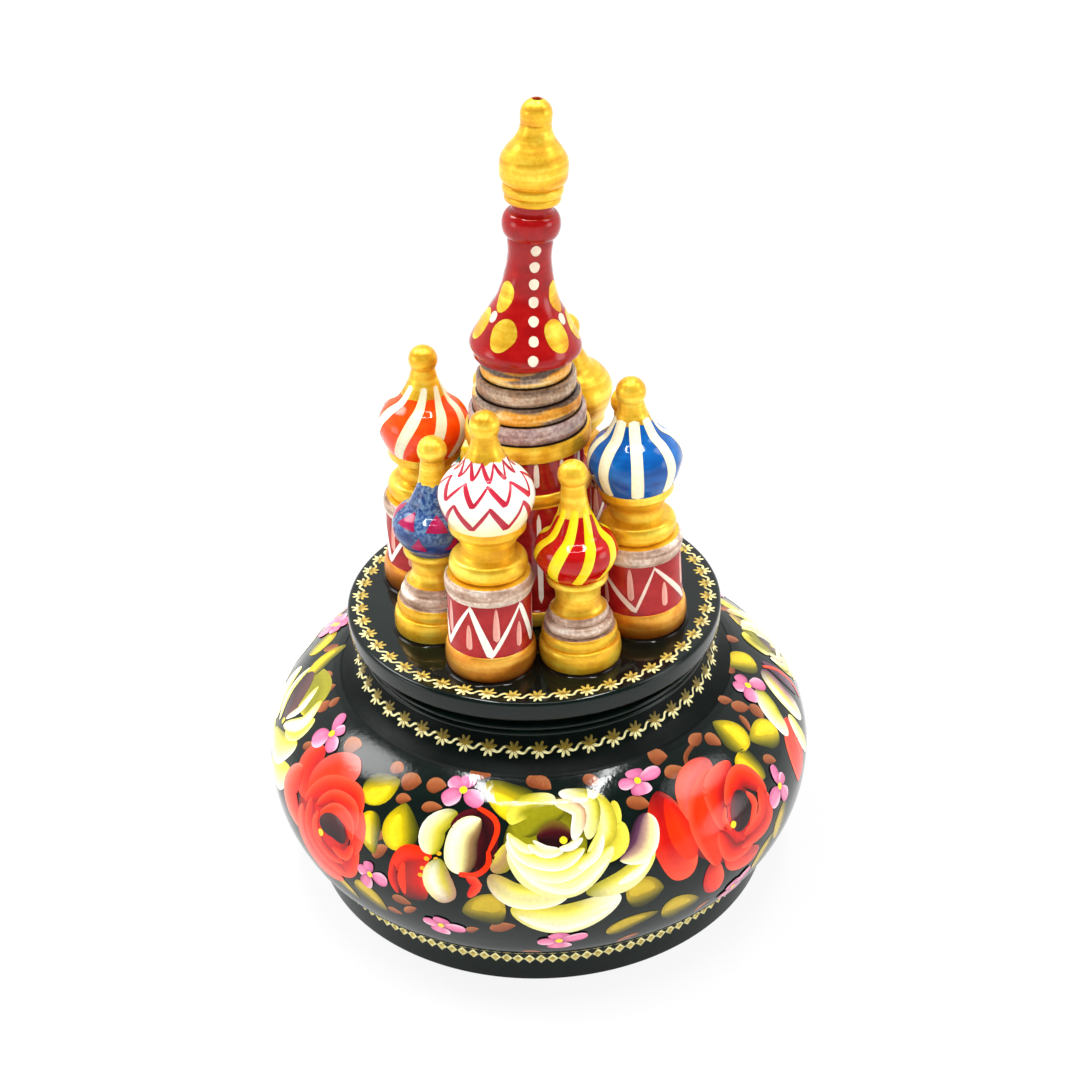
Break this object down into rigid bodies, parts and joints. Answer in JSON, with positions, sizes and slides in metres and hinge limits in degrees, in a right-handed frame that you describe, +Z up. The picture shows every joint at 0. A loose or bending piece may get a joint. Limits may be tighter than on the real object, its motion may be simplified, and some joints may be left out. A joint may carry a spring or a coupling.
{
  "type": "music box",
  "caption": "Turned wooden music box: a lacquered pot carries a turning disc with a cluster of painted onion-dome towers, driven by a spring movement with a pinned cylinder and comb.",
  "frame": {"origin": "centre of the foot's underside, on the turntable's axis", "axes": "+Z up along the turntable's axis, -Y towards the viewer of the picture, +X to the viewer's right"},
  "size_m": [0.12, 0.12, 0.1718],
  "materials": {
    "black_lacquer": "black gloss lacquer over turned wood, painted with flowers",
    "red_lacquer": "red gloss paint over turned wood",
    "gold_paint": "grainy metallic gold paint over turned wood",
    "mauve_paint": "grey-mauve and gold metallic paint over turned wood",
    "cream_paint": "cream gloss paint with crimson zigzags over turned wood",
    "crimson_paint": "crimson gloss paint with yellow stripes over turned wood",
    "blue_paint": "blue gloss paint with cream stripes over turned wood",
    "plum_paint": "plum gloss paint over turned wood",
    "green_paint": "green gloss paint over turned wood",
    "orange_paint": "orange gloss paint with cream stripes over turned wood",
    "indigo_paint": "indigo gloss paint with magenta triangles over turned wood",
    "bare_wood": "plain sanded wood",
    "steel": "bright steel",
    "spring_steel": "blued spring steel",
    "zinc": "die-cast zinc, matt",
    "brass": "turned brass"
  },
  "bodies": {
    "base": {"pot_body": "black_lacquer", "bottom_cover": "bare_wood", "cover_screw_1": "steel", "cover_screw_2": "steel", "cover_screw_3": "steel", "movement_screw_1": "steel", "movement_screw_2": "steel", "movement_screw_3": "steel", "shaft_bush": "brass", "bedplate": "zinc", "spring_housing": "zinc", "mainspring": "spring_steel", "inner_bracket": "zinc", "outer_bracket": "zinc", "governor_cock": "brass", "comb_block": "zinc", "comb": "steel", "comb_screw_1": "steel", "comb_screw_2": "steel"},
    "turntable": {"turntable_disc": "black_lacquer", "hub_flange": "zinc", "hub_screw_1": "steel", "hub_screw_2": "steel", "hub_screw_3": "steel", "drive_shaft": "steel", "crown_wheel": "brass", "tower_cream": "cream_paint", "tower_crimson": "crimson_paint", "tower_blue": "blue_paint", "tower_plum": "plum_paint", "tower_gold": "gold_paint", "tower_green": "green_paint", "tower_orange": "orange_paint", "tower_indigo": "indigo_paint", "centre_drum": "red_lacquer", "centre_stack": "mauve_paint", "spire": "red_lacquer", "finial": "gold_paint"},
    "cylinder": {"pinned_cylinder": "brass", "cylinder_pinion": "steel", "cylinder_wheel": "brass"},
    "governor_arbor": {"governor_pinion": "steel", "governor_wheel": "brass"},
    "fan": {"governor_worm": "steel", "governor_fan": "brass"}
  },
  "joints": [
    {"name": "turntable_spin", "type": "hinge", "parent": "base", "child": "turntable", "pos_m": [0, 0, 0.0563], "axis": [0, 0, 1], "continuous": true},
    {"name": "cylinder_spin", "type": "hinge", "parent": "base", "child": "cylinder", "pos_m": [0.0232, 0, 0.02225], "axis": [1, 0, 0], "continuous": true},
    {"name": "governor_arbor_spin", "type": "hinge", "parent": "base", "child": "governor_arbor", "pos_m": [0.0333, 0.0096, 0.02225], "axis": [1, 0, 0], "continuous": true},
    {"name": "fan_spin", "type": "hinge", "parent": "base", "child": "fan", "pos_m": [0.0333, 0.0143, 0.02225], "axis": [0, 0, 1], "continuous": true}
  ],
  "couplings": [
    {"joint": "cylinder_spin", "follows": "turntable_spin", "ratio": 3},
    {"joint": "governor_arbor_spin", "follows": "turntable_spin", "ratio": -9},
    {"joint": "fan_spin", "follows": "turntable_spin", "ratio": 72}
  ]
}
